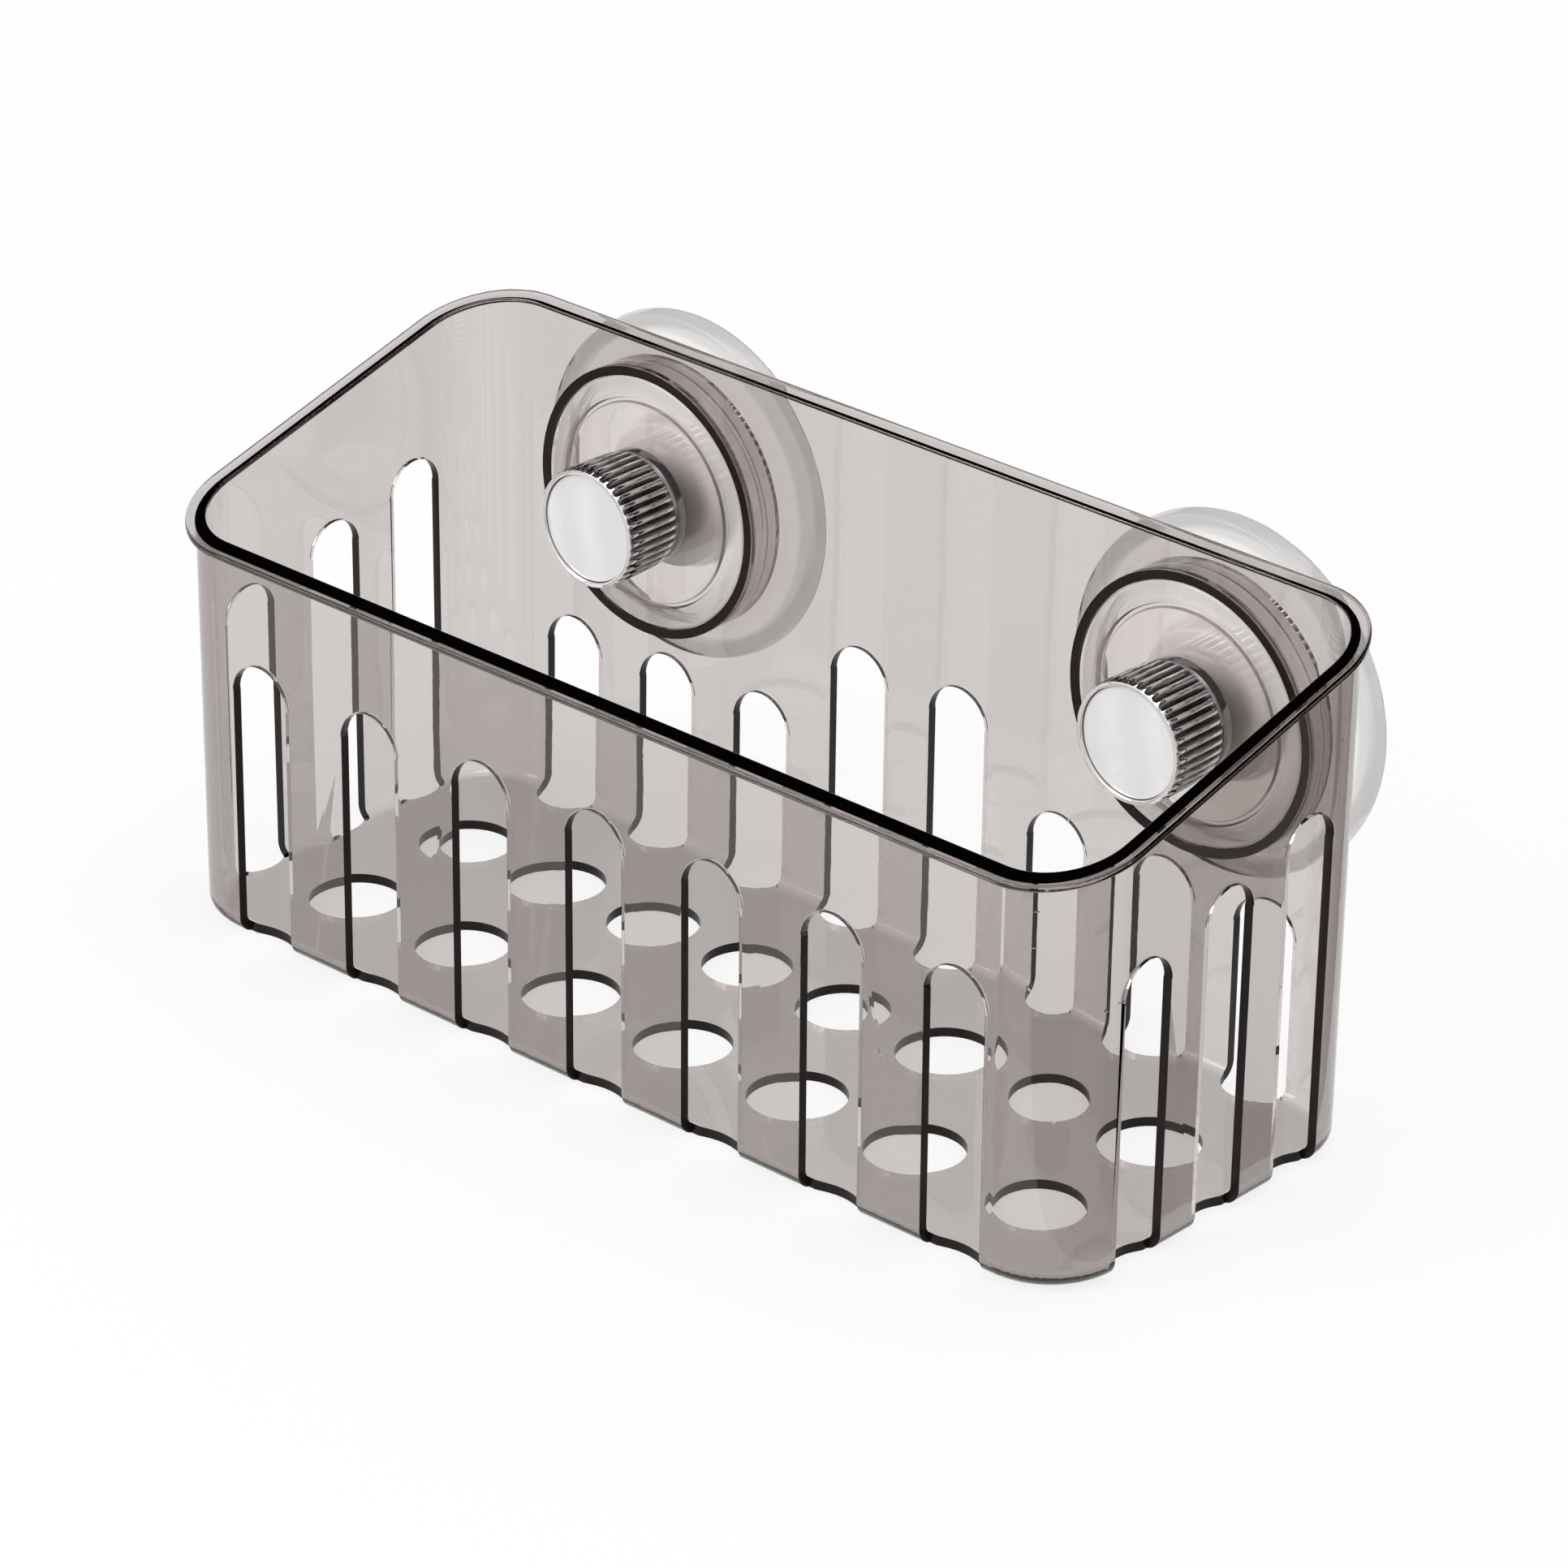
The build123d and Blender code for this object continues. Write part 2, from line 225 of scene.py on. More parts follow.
def gridMesh(name, points, material):
    # rows by columns of points in millimetres, columns close round on themselves;
    # a row whose points all coincide is merged into one pole
    mesh = bpy.data.meshes.new(name)
    mesh.from_pydata((points.reshape(-1, 3) * mm).tolist(), [],
                     gridQuads(*points.shape[:2], closed=True).tolist())
    work = bmesh.new()
    work.from_mesh(mesh)
    bmesh.ops.remove_doubles(work, verts=work.verts, dist=meshCare["mergeWithin"])
    bmesh.ops.dissolve_degenerate(work, edges=work.edges, dist=meshCare["dropUnder"])
    bmesh.ops.recalc_face_normals(work, faces=work.faces)
    if work.calc_volume(signed=True) < 0:
        bmesh.ops.reverse_faces(work, faces=work.faces)
    work.to_mesh(mesh)
    work.free()
    mesh.shade_smooth()
    mesh.set_sharp_from_angle(angle=np.radians(meshCare["sharpAngle"]))
    return place(name, mesh, material)


def readAll(items, key, width=1, kind=np.float32):
    # one value or row of values for all of a mesh's points, edges, faces or corners
    values = np.empty(len(items) * width, kind)
    items.foreach_get(key, values)
    return values.reshape(-1, width) if width > 1 else values


def pointsOf(mesh):
    # every point's place in millimetres
    return readAll(mesh.vertices, "co", 3).astype(float) / mm


def keepOn(mesh, name, kind, domain, values):
    # one value kept on every point, edge or face of the mesh, which a modifier or the piece's material reads
    mesh.attributes.new(name, kind, domain).data.foreach_set("value", values)


def markPoints(thing, name, share):
    keepOn(thing.data, name, "FLOAT", "POINT", np.clip(share, 0, 1).astype(np.float32))


def axisPlaces(thing, middleX):
    # every point's place behind the disc's front and its distance from the suction unit's axis, in mm
    x, y, z = pointsOf(thing.data).T
    return y - discFront, np.hypot(x - middleX, z - unitHeight)


def softCorners(corners, steps=5):
    # profile through (place along the axis, radius, rounding) corners; a rounded corner is a quadratic
    # curve that begins and ends its rounding length away from the corner
    out = []
    for i, (along, radius, soft) in enumerate(corners):
        here = np.array([along, radius], float)
        if soft <= 0 or i in (0, len(corners) - 1):
            out.append(here[None])
            continue
        before, after = np.array(corners[i - 1][:2], float), np.array(corners[i + 1][:2], float)
        a = here + (before - here) / np.linalg.norm(before - here) * soft
        b = here + (after - here) / np.linalg.norm(after - here) * soft
        t = np.linspace(0, 1, steps)[:, None]
        out.append((1 - t) ** 2 * a + 2 * t * (1 - t) * here + t ** 2 * b)
    return np.vstack(out)


def finer(profile, step=1.0):
    # points are put in along the profile so that none is farther from the next than the step:
    # each stretch is cut into n equal parts, and n is its length over the step, rounded up
    spans = np.diff(profile, axis=0)
    counts = np.maximum(1, np.ceil(np.linalg.norm(spans, axis=1) / step)).astype(int)
    stretch = np.repeat(np.arange(len(counts)), counts)
    share = (np.arange(len(stretch)) - (np.cumsum(counts) - counts)[stretch]) / counts[stretch]
    return np.vstack([profile[stretch] + spans[stretch] * share[:, None], profile[-1:]])


def turned(profile, middleX, columns, swell=0.0):
    # x = middle + r cos a, y = disc's front + place along the axis, z = height + r sin a,
    # with swell added to r
    angle = np.linspace(0, 2 * np.pi, columns, endpoint=False)
    radius = profile[:, 1:2] + swell + np.zeros((1, columns))
    along = discFront + np.repeat(profile[:, 0:1], columns, axis=1)
    return np.stack([middleX + radius * np.cos(angle), along, unitHeight + radius * np.sin(angle)], axis=-1)


# Basket: a merged copy of the CAD node, with its rim and slot edges rounded

basketEdges = {
    "mergeWithin": 0.002, "flatUnder": 0.6,                 # loose triangles merged and joined, mm, degrees
    "round": 0.3, "roundSteps": 2, "sharpFrom": 30.0,       # edges that fold by this many degrees are sharp
    "rimHeight": 97.05, "rimTilt": 15.0, "rimWithin": 0.05, "innerHalf": (115.9, 44.3),
    "slotsFrom": 6.0, "slotsTo": 76.0, "wallStart": (113.5, 42.0), "cornerStart": (100.0, 30.0),
    "floorTop": 1.98, "collarStart": 40.0, "collarReach": 31.0, "collarSpare": 0.1,
    "facesOver": 0.5, "facesUnder": 0.2, "uprightUnder": 0.15,      # shares of a face's unit normal
    "downOver": 0.1, "frontOver": 0.9,
    "lipHeight": 2.3, "lipHeightShare": 0.72, "lipOutShare": 0.78, "lipSpare": (0.02, 0.1),
    "wallHalf": (117.5, 45.9), "wallCorner": 17.0, "wall": 2.0, "drafts": (0.45, 0.2),
    "footHalf": (116.738, 45.561), "cornerWithin": 0.08, "cornerSpare": 0.02,
    "wallLean": 0.05, "wallTurn": 0.01,                             # shares of a face's unit normal
}
basketLook = {
    "surface": (1.0, 1.0, 1.0), "clear": 1.0, "ior": 1.51, "coat": 0.0,
    "depthColor": (0.165, 0.055, 0.015), "depthDensity": 238.0, "lampTint": (0.80, 0.79, 0.785),
    "fineScale": 260.0, "fineDepth": 0.002, "broadScale": 45.0, "broadDepth": 0.04,
    "roughLow": 0.0, "roughHigh": 0.02,
}


def underRim(points, s):
    # distance from the slanting rim plane, down into the basket
    tilt = np.radians(s["rimTilt"])
    return (s["rimHeight"] - points[..., 2]) * np.cos(tilt) + points[..., 1] * np.sin(tilt)


def slimLip(mesh, s):
    # the lip's points are drawn in: depth under the rim plane and distance from the wall are both
    # scaled down; the wall is a rectangle with round corners, so the distance is the length of what
    # passes its straight parts
    points = pointsOf(mesh)
    depth = underRim(points, s)
    past = np.clip(np.abs(points[:, :2]) - (np.array(s["wallHalf"]) - s["wallCorner"]), 0, None)
    reach = np.linalg.norm(past, axis=1)
    inLip = depth < s["lipHeight"] + s["lipSpare"][1]
    moves = inLip & (reach > s["wallCorner"] + s["lipSpare"][0])
    outward = np.where(moves[:, None], past / np.maximum(reach, tiny)[:, None], 0.0) * np.sign(points[:, :2])
    points[:, :2] -= outward * ((1 - s["lipOutShare"]) * (reach - s["wallCorner"]))[:, None]
    lift = (underRim(points, s) - s["lipHeightShare"] * depth) / np.cos(np.radians(s["rimTilt"]))
    points[:, 2] += np.where(inLip, lift, 0.0)
    mesh.vertices.foreach_set("co", (points * mm).astype(np.float32).ravel())
    mesh.update()


def cutFacesOf(mesh, s):
    # a face is a cut through the plastic when it stands square to the wall or floor that it belongs to:
    # sides and tops of the slots, walls of the drain holes, and the front of the two collars
    x, y, z = readAll(mesh.polygons, "center", 3).astype(float).T / mm
    out = readAll(mesh.polygons, "normal", 3)
    across, deep, up = np.abs(out).T
    slotTop = (out[:, 2] < -s["downOver"]) & (z > s["slotsFrom"])
    toUnit = np.hypot(np.abs(x) - unitPlaces["right"], z - unitHeight)
    inFloor = (z < s["floorTop"]) & (up < s["uprightUnder"])
    longWall = (np.abs(y) > s["wallStart"][1]) & (np.abs(x) < s["cornerStart"][0]) & (z < s["slotsTo"])
    longWall &= ((across > s["facesOver"]) | slotTop) & (deep < s["facesUnder"])
    longWall &= toUnit >= s["collarReach"]
    endWall = (np.abs(x) > s["wallStart"][0]) & (np.abs(y) < s["cornerStart"][1]) & (z < s["slotsTo"])
    endWall &= ((deep > s["facesOver"]) | slotTop) & (across < s["facesUnder"])
    collar = (out[:, 1] < -s["frontOver"]) & (toUnit < s["collarReach"])
    collar &= (y > s["collarStart"]) & (y < discFront + s["collarSpare"])
    return inFloor | longWall | endWall | collar


def foldsOf(mesh):
    # the angle in degrees between the two faces that meet at each edge, from the product of their normals
    sizes = readAll(mesh.polygons, "loop_total", kind=np.int32)
    faceOf = np.repeat(np.arange(len(sizes)), sizes)
    byEdge = np.argsort(readAll(mesh.loops, "edge_index", kind=np.int32), kind="stable")
    meeting = faceOf[byEdge].reshape(-1, 2)
    one, other = readAll(mesh.polygons, "normal", 3)[meeting.T]
    return np.degrees(np.arccos(np.clip((one * other).sum(axis=1), -1, 1)))


def roundedEdgesOf(mesh, s):
    # which edges fold sharply, and which of those are the rim's inner edge or a slot's edge and get rounded
    ends = pointsOf(mesh)[readAll(mesh.edges, "vertices", 2, np.int32)]
    x, y, z = ends[..., 0], ends[..., 1], ends[..., 2]
    rim = np.abs(underRim(ends, s)).max(axis=1) < s["rimWithin"]
    rim &= (np.abs(x).max(axis=1) < s["innerHalf"][0]) & (np.abs(y).max(axis=1) < s["innerHalf"][1])
    toUnit = np.hypot(np.abs(x) - unitPlaces["right"], z - unitHeight).min(axis=1)
    slots = ((np.abs(x) > s["wallStart"][0]) | (np.abs(y) > s["wallStart"][1])).all(axis=1)
    slots &= (z.min(axis=1) > s["slotsFrom"]) & (z.max(axis=1) < s["slotsTo"])
    slots &= (y.max(axis=1) < s["wallStart"][1]) | (toUnit > s["collarReach"])
    sharp = foldsOf(mesh) > s["sharpFrom"]
    return sharp, sharp & (rim | slots)


def trueCorners(mesh, s):
    # the four corners' walls are slanting cylinders, so their normals are (cos a, sin a) in plan,
    # tipped down by the two walls' drafts in the shares cos a and sin a, and turned round on the inside
    normals = readAll(mesh.corner_normals, "vector", 3)
    where = pointsOf(mesh)[readAll(mesh.loops, "vertex_index", kind=np.int32)]
    sizes = readAll(mesh.polygons, "loop_total", kind=np.int32)
    facing = np.repeat(readAll(mesh.polygons, "normal", 3), sizes, axis=0)
    slope = np.tan(np.radians(s["drafts"]))
    past = np.abs(where[:, :2]) - (np.array(s["footHalf"]) + where[:, 2:3] * slope - s["wallCorner"])
    radius = np.linalg.norm(past, axis=1)
    fromOuter, fromInner = np.abs(radius - s["wallCorner"]), np.abs(radius - s["wallCorner"] + s["wall"])
    onWall = (np.minimum(fromOuter, fromInner) < s["cornerWithin"]) & (past > -s["cornerSpare"]).all(axis=1)
    onWall &= (np.abs(facing[:, 2]) < s["wallLean"]) & (np.abs(facing[:, :2]).min(axis=1) > s["wallTurn"])
    plan = past / np.maximum(radius, tiny)[:, None]
    true = np.column_stack([plan * np.sign(where[:, :2]), -(plan * slope).sum(axis=1)])
    true *= np.where((true[:, :2] * facing[:, :2]).sum(axis=1) < 0, -1.0, 1.0)[:, None]
    true /= np.linalg.norm(true, axis=1)[:, None]
    mesh.normals_split_custom_set(np.where(onWall[:, None], true, normals).tolist())


def roundedBasket(s, material):
    # the copy is merged and marked, its lip drawn in, its edges rounded and its corners' normals set
    work = bmesh.new()
    work.from_mesh(cadNodes["basket"].data)
    bmesh.ops.remove_doubles(work, verts=work.verts, dist=s["mergeWithin"] * mm)
    bmesh.ops.dissolve_limit(work, angle_limit=np.radians(s["flatUnder"]), verts=work.verts, edges=work.edges)
    mesh = bpy.data.meshes.new("smokeBasket")
    work.to_mesh(mesh)
    work.free()
    mesh.shade_smooth()
    sharp, rounded = roundedEdgesOf(mesh, s)
    keepOn(mesh, "bevel_weight_edge", "FLOAT", "EDGE", rounded.astype(np.float32))
    keepOn(mesh, "sharp_edge", "BOOLEAN", "EDGE", sharp & ~rounded)
    keepOn(mesh, "cutEdge", "FLOAT", "FACE", cutFacesOf(mesh, s).astype(np.float32))
    slimLip(mesh, s)
    thing = place("smokeBasket", mesh, material)
    bevel = thing.modifiers.new("edges", "BEVEL")
    bevel.limit_method, bevel.width, bevel.segments = "WEIGHT", s["round"] * mm, s["roundSteps"]
    bevel.use_clamp_overlap = False
    shading = thing.modifiers.new("flatWalls", "WEIGHTED_NORMAL")
    shading.keep_sharp = True
    graph = bpy.context.evaluated_depsgraph_get()
    finished = bpy.data.meshes.new_from_object(thing.evaluated_get(graph), preserve_all_data_layers=True,
                                               depsgraph=graph)
    thing.modifiers.clear()
    thing.data = finished
    trueCorners(finished, s)
    return thing


basket = roundedBasket(basketEdges, seeThrough("smokeMoulding", basketLook, cut=True))
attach(basket, "basket")
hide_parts("basket")
print("basket made")

# Pressure discs: a clear plate with a ring groove, and behind it a fainter skirt and flange

discShape = {
    "radius": 26.75, "thick": 2.4, "bevel": 0.4, "edgeRound": 0.15, "backRound": 0.2,
    "hole": 5.3, "holeRound": 0.2,
    "groove": (21.2, 22.4), "grooveDepth": 0.6, "grooveWall": 0.28, "grooveRound": 0.05,
    "skirtInner": 24.75, "catch": (5.6, 7.0, 0.4),      # catch: where it begins and ends, and its reach
    "flangeFront": 9.45, "flangeBack": 10.65, "flangeRadius": 30.4, "gap": 0.05, "columns": 192,
    "cloudFade": 1.0, "markSpare": 0.01, "markReach": 0.6,
}
clearLook = {
    "surface": (1.0, 1.0, 1.0), "clear": 1.0, "ior": 1.02, "coat": 0.0,
    "depthColor": (0.5, 0.44, 0.40), "depthDensity": 20.0, "lampTint": (0.95, 0.95, 0.95),
    "fineScale": 200.0, "fineDepth": 0.002, "broadScale": 60.0, "broadDepth": 0.01,
    "roughLow": 0.0, "roughHigh": 0.02,
}
# painted shade: the ring groove's two walls take a dark colour, for the dark lines of light bent in the
# groove
plateLook = dict(
    clearLook, surface=(0.90, 0.865, 0.855), clear=0.96, cloudy=0.6, ior=1.2, coat=1.0, depthDensity=90.0,
    marked="grooveWall", markedColor=(0.30, 0.27, 0.25))
plateFinish = seeThrough("clearPlate", plateLook)
skirtFinish = seeThrough("clearSkirt", clearLook)


def plateProfile(s):
    # from the hole's back edge to the front, over the groove, round the outer edge and home along the back
    (inner, outer), low, fine = s["groove"], s["grooveDepth"], s["grooveRound"]
    return softCorners([
        (s["thick"], s["hole"], 0), (0, s["hole"], s["holeRound"]),
        (0, inner, fine), (low, inner + s["grooveWall"], fine),
        (low, outer - s["grooveWall"], fine), (0, outer, fine),
        (0, s["radius"] - s["bevel"], s["edgeRound"]), (s["bevel"], s["radius"], s["edgeRound"]),
        (s["thick"], s["radius"], s["backRound"]), (s["thick"], s["hole"], 0)], 3)


def skirtProfile(s):
    # round the tube that sits in the collar, over its catch and out to the flange behind the collar
    start, end, reach = s["catch"]
    return np.array([
        (s["flangeBack"], s["skirtInner"]), (s["thick"] + s["gap"], s["skirtInner"]),
        (s["thick"] + s["gap"], s["radius"]), (start, s["radius"]), ((start + end) / 2, s["radius"] + reach),
        (end, s["radius"]), (s["flangeFront"], s["radius"]), (s["flangeFront"], s["flangeRadius"]),
        (s["flangeBack"], s["flangeRadius"]), (s["flangeBack"], s["skirtInner"])])


def markPlate(thing, s, middleX):
    # milky outside the ring groove, and painted shade, a dark second colour, on the groove's two walls
    (inner, outer), half = s["groove"], s["grooveWall"] / 2
    behind, radius = axisPlaces(thing, middleX)
    fromWall = np.minimum(np.abs(radius - inner - half), np.abs(radius - outer + half))
    inGroove = (behind > s["markSpare"]) & (behind < s["grooveDepth"] + s["markSpare"])
    markPoints(thing, "cloud", (radius - outer) / s["cloudFade"])
    markPoints(thing, "grooveWall", inGroove & (fromWall < s["grooveWall"] * s["markReach"]))


for side, middleX in unitPlaces.items():
    columns = discShape["columns"]
    profile = finer(plateProfile(discShape))
    plate = gridMesh("clearPlate." + side, turned(profile, middleX, columns), plateFinish)
    skirt = gridMesh("clearSkirt." + side, turned(skirtProfile(discShape), middleX, columns), skirtFinish)
    markPlate(plate, discShape, middleX)
    for piece in (plate, skirt):
        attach(piece, "basket")
    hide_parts("suction_housing_" + side)
print("discs made")

# Suction pads: soft dish with a thick rim and a boss around the stud's head

padShape = {
    "bossFront": 6.1, "bossFrontRadius": 15.2, "bossRadius": 16.0, "bossRound": 0.9, "footRound": 1.6,
    "front": 10.9, "frontRadius": 36.2, "rimRound": 0.9, "back": 14.8, "radius": 36.9, "backStep": 0.3,
    "sideRound": 0.5, "backRound": 0.2, "land": 33.5, "hollow": 1.9, "hollowSteps": 14,
    "shankHole": 4.2, "holeDepth": 0.4, "holeFlare": 0.3, "holeRound": 0.15,
    "rimBand": 33.0, "bandFade": 0.4, "cloudFade": 0.5, "cloudReach": 0.6, "columns": 192,
    "stillFrom": 13.2, "movesBefore": 8.2,              # two places along the pad's axis
}
padLook = {
    "surface": (1.0, 0.985, 0.975), "clear": 0.97, "cloudy": 0.15, "ior": 1.16, "coat": 0.4,
    "marked": "rimBand", "markedColor": (0.66, 0.65, 0.65),
    "depthColor": (0.5, 0.46, 0.44), "depthDensity": 25.0, "lampTint": (0.92, 0.915, 0.91),
    "fineScale": 260.0, "fineDepth": 0.01, "broadScale": 50.0, "broadDepth": 0.1,
    "roughLow": 0.0, "roughHigh": 0.04,
}
padFinish = seeThrough("softPad", padLook)


def padProfile(s):
    # boss front, its flank, dish front, rim and flat ring at the wall; the hollow behind is a parabola
    inner = s["bossFront"] + s["holeDepth"]
    front = softCorners([
        (inner, s["shankHole"], 0), (s["bossFront"], s["shankHole"] + s["holeFlare"], s["holeRound"]),
        (s["bossFront"], s["bossFrontRadius"], s["bossRound"]), (s["front"], s["bossRadius"], s["footRound"]),
        (s["front"], s["frontRadius"], s["rimRound"]),
        (s["back"] - 2 * s["backStep"], s["radius"], s["sideRound"]),
        (s["back"], s["radius"] - s["backStep"], s["backRound"]), (s["back"], s["land"], 0)])
    radius = s["land"] * np.linspace(1, 0, s["hollowSteps"])[1:]
    behind = np.stack([s["back"] - s["hollow"] * (1 - (radius / s["land"]) ** 2), radius], axis=-1)
    return np.vstack([[[inner, 0.0]], front, behind])


def markPad(thing, s, middleX):
    # a second colour on the rim, and milky in the boss in front of the dish
    behind, radius = axisPlaces(thing, middleX)
    inBoss = np.minimum(s["bossRadius"] + s["cloudReach"] - radius, s["front"] - behind)
    markPoints(thing, "rimBand", (radius - s["rimBand"]) / s["bandFade"])
    markPoints(thing, "cloud", inBoss / s["cloudFade"])


for side, middleX in unitPlaces.items():
    profile = finer(padProfile(padShape))
    pad = gridMesh("softPad." + side, turned(profile, middleX, padShape["columns"]), padFinish)
    markPad(pad, padShape, middleX)
    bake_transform(pad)
    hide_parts("suction_pad_" + side)
print("pads made")

# Knobs: ridged barrel, smooth skirt at the back, shallow well in the face for the cap

knobShape = {
    "back": -0.3, "front": -17.6, "radius": 12.3, "backRadius": 11.9, "rimInner": 11.4, "well": -16.1,
    "bore": 10.6, "boreFront": -14.4, "ridges": 38, "ridgeOut": 0.4, "ridgeSink": 0.3, "ridgeSquare": 1.7,
    "ridgeFront": -17.1, "ridgeBack": -3.7, "ridgeFade": 0.5, "ridgeLead": 0.4,
    "perRidge": 14, "barrelSteps": 14,
    "boreRound": 0.3, "skirtOut": 0.1, "skirtRound": 0.7, "skirtShade": 0.8, "overlap": 0.2,
    "skirtEnd": (0.7, 0.3), "dip": (0.3, 0.25, 0.15),   # behind the ridges: place, depth of the dip, rounding
    "faceOut": (0.1, 0.05, 0.25),                       # behind the front: place, how far out, rounding
    "faceBevel": 0.25, "faceRound": 0.2, "wellRound": 0.1, "rimThick": 0.3,
    "valleyCurve": 0.5, "plainFront": 0.1,
}
# painted shade: the chrome is painted near black in the ridges' valleys and darker on the smooth skirt, for
# the shade in the valleys and the skirt's dark reflections
chromeLook = {
    "color": (0.84, 0.83, 0.825), "metallic": 1.0, "fineScale": 400.0, "fineDepth": 0.003,
    "broadScale": 160.0, "broadDepth": 0.02, "roughLow": 0.02, "roughHigh": 0.06,
    "marked": "valley", "markedColor": (0.05, 0.049, 0.048),
}
chromeFinish = solidFinish("brightChrome", chromeLook)


def barrelRadius(s, along):
    # the barrel widens evenly from its back to its front
    share = (along - s["back"]) / (s["front"] - s["back"])
    return s["backRadius"] + (s["radius"] - s["backRadius"]) * share


def knobPoints(s, middleX):
    # profile from inside the bore, round the back edge, along the barrel and into the face's well
    (skirtEnd, endRound), (dipPlace, dipDepth, dipRound) = s["skirtEnd"], s["dip"]
    skirt, dip = s["backRadius"] + s["skirtOut"], s["backRadius"] - dipDepth
    faceBack, faceOut, outRound = s["faceOut"]
    rear = softCorners([
        (s["boreFront"], 0, 0), (s["boreFront"], s["bore"], s["boreRound"]),
        (s["back"], s["bore"], s["boreRound"]), (s["back"], skirt, s["skirtRound"]),
        (s["ridgeBack"] + skirtEnd, skirt, endRound),
        (s["ridgeBack"] + dipPlace, dip, dipRound), (s["ridgeBack"], dip, 0)], 4)
    along = np.linspace(s["ridgeBack"] - s["overlap"], s["ridgeFront"], s["barrelSteps"])
    barrel = np.stack([along, barrelRadius(s, along)], axis=-1)
    head = softCorners([
        (s["ridgeFront"], s["radius"], 0), (s["front"] + faceBack, s["radius"] + faceOut, outRound),
        (s["front"], s["radius"] - s["faceBevel"], s["faceRound"]),
        (s["front"], s["rimInner"], s["faceRound"]),
        (s["well"], s["rimInner"], s["wellRound"]), (s["well"], 0, 0)], 4)
    profile = np.vstack([rear, barrel, head[1:]])
    behind, radius = profile.T
    # a ridge's height: a cosine round the barrel, squared off towards broad tops and narrow valleys,
    # faded in and out near its two ends
    angle = np.linspace(0, 2 * np.pi, s["ridges"] * s["perRidge"], endpoint=False)
    wave = 1 - (0.5 - 0.5 * np.cos(angle * s["ridges"])) ** s["ridgeSquare"]
    rise = np.clip((s["ridgeBack"] - behind) / s["ridgeFade"], 0, 1)
    rise *= np.clip((behind - s["ridgeFront"]) / s["ridgeFade"] + s["ridgeLead"], 0, 1)
    rise = np.where(radius > s["rimInner"] + s["rimThick"], rise, 0.0)
    swell = rise[:, None] * (wave * (s["ridgeOut"] + s["ridgeSink"]) - s["ridgeSink"])[None, :]
    return turned(profile, middleX, len(angle), swell)


def shadeValleys(thing, s, middleX):
    # painted shade: how far a point lies below the ridge tops, as a share of the ridge's height,
    # and a fixed share on the skirt, darkens the chrome there
    behind, radius = axisPlaces(thing, middleX)
    below = barrelRadius(s, behind) + s["ridgeOut"] - radius
    valley = np.clip(below / (s["ridgeOut"] + s["ridgeSink"]), 0, 1) ** s["valleyCurve"]
    valley = np.where(behind > s["ridgeBack"] + s["overlap"], s["skirtShade"], valley)
    valley = np.where(behind < s["ridgeFront"] - s["plainFront"], 0.0, valley)
    markPoints(thing, "valley", valley)


for side, middleX in unitPlaces.items():
    knob = gridMesh("ridgedKnob." + side, knobPoints(knobShape, middleX), chromeFinish)
    shadeValleys(knob, knobShape, middleX)
    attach(knob, "knob_" + side)
    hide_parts("knob_" + side)
print("knobs made")

# Caps: bright discs let into the knobs' faces, with a faint hammered wave

capShape = {"front": -16.9, "back": -16.1, "radius": 11.3, "bevel": 0.3, "columns": 144}
capLook = {
    "color": (1.0, 1.0, 1.0), "metallic": 0.35, "fineScale": 700.0, "fineDepth": 0.003,
    "broadScale": 90.0, "broadDepth": 0.06, "roughLow": 0.14, "roughHigh": 0.26,
}
capFinish = solidFinish("satinCap", capLook)


def capProfile(s):
    # from the middle of the face out to its bevelled edge and back to the middle behind
    return softCorners([
        (s["front"], 0, 0), (s["front"], s["radius"], s["bevel"]),
        (s["back"], s["radius"], s["bevel"] / 2), (s["back"], 0, 0)])


for side, middleX in unitPlaces.items():
    cap = gridMesh("satinCap." + side, turned(capProfile(capShape), middleX, capShape["columns"]), capFinish)
    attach(cap, "knob_" + side)
    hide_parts("knob_cap_" + side)
print("caps made")

# Hidden hardware: CAD nodes with finishes of their own

studLook = {
    "color": (0.90, 0.90, 0.89), "metallic": 0.25, "fineScale": 300.0, "fineDepth": 0.01,
    "broadScale": 80.0, "broadDepth": 0.03, "roughLow": 0.4, "roughHigh": 0.55,
}
nutLook = {
    "color": (0.80, 0.62, 0.30), "metallic": 1.0, "fineScale": 250.0, "fineDepth": 0.01,
    "broadScale": 80.0, "broadDepth": 0.03, "roughLow": 0.2, "roughHigh": 0.35,
}
washerLook = {
    "color": (0.86, 0.86, 0.85), "metallic": 0.0, "fineScale": 200.0, "fineDepth": 0.01,
    "broadScale": 60.0, "broadDepth": 0.03, "roughLow": 0.3, "roughHigh": 0.45,
}
hardware = {
    "pull_stud_": ("plated_steel", studLook), "knob_nut_": ("brass_nut", nutLook),
    "slip_washer_": ("white_plastic", washerLook),
}
for start, (slotName, look) in hardware.items():
    finish = solidFinish(slotName + "Finish", look)
    for side in unitPlaces:
        dress(cadNodes[start + side], finish)
print("hardware dressed")

# Studio: pale floor and world that show white behind plastic and metal, two soft lamps, one dark drape
# and one dark card; places and sizes in metres, drops in millimetres

studio = {
    "floorGlow": 0.78, "floorColor": (0.96, 0.96, 0.96), "fill": 0.66, "floorHalf": 3.0, "floorDrop": -0.1,
    "keyPlace": (-0.75, -1.35, 1.0), "keySize": (0.9, 0.9), "keyPower": 11.5,
    "topPlace": (0.3, 0.2, 1.6), "topSize": (1.2, 0.8), "topPower": 6.5, "lampsAim": (0, 0, 0.06),
    "drapeRadius": 2.6, "drapeAzimuth": (-70.0, 80.0), "drapeElevation": (12.0, 62.0),
    "drapePoints": (40, 14), "clothColor": (0.02, 0.02, 0.02),
    "cardFrom": (0.125, -0.45), "cardTo": (0.75, 0.7), "cardDrop": -0.03,
}
white = (1, 1, 1, 1)


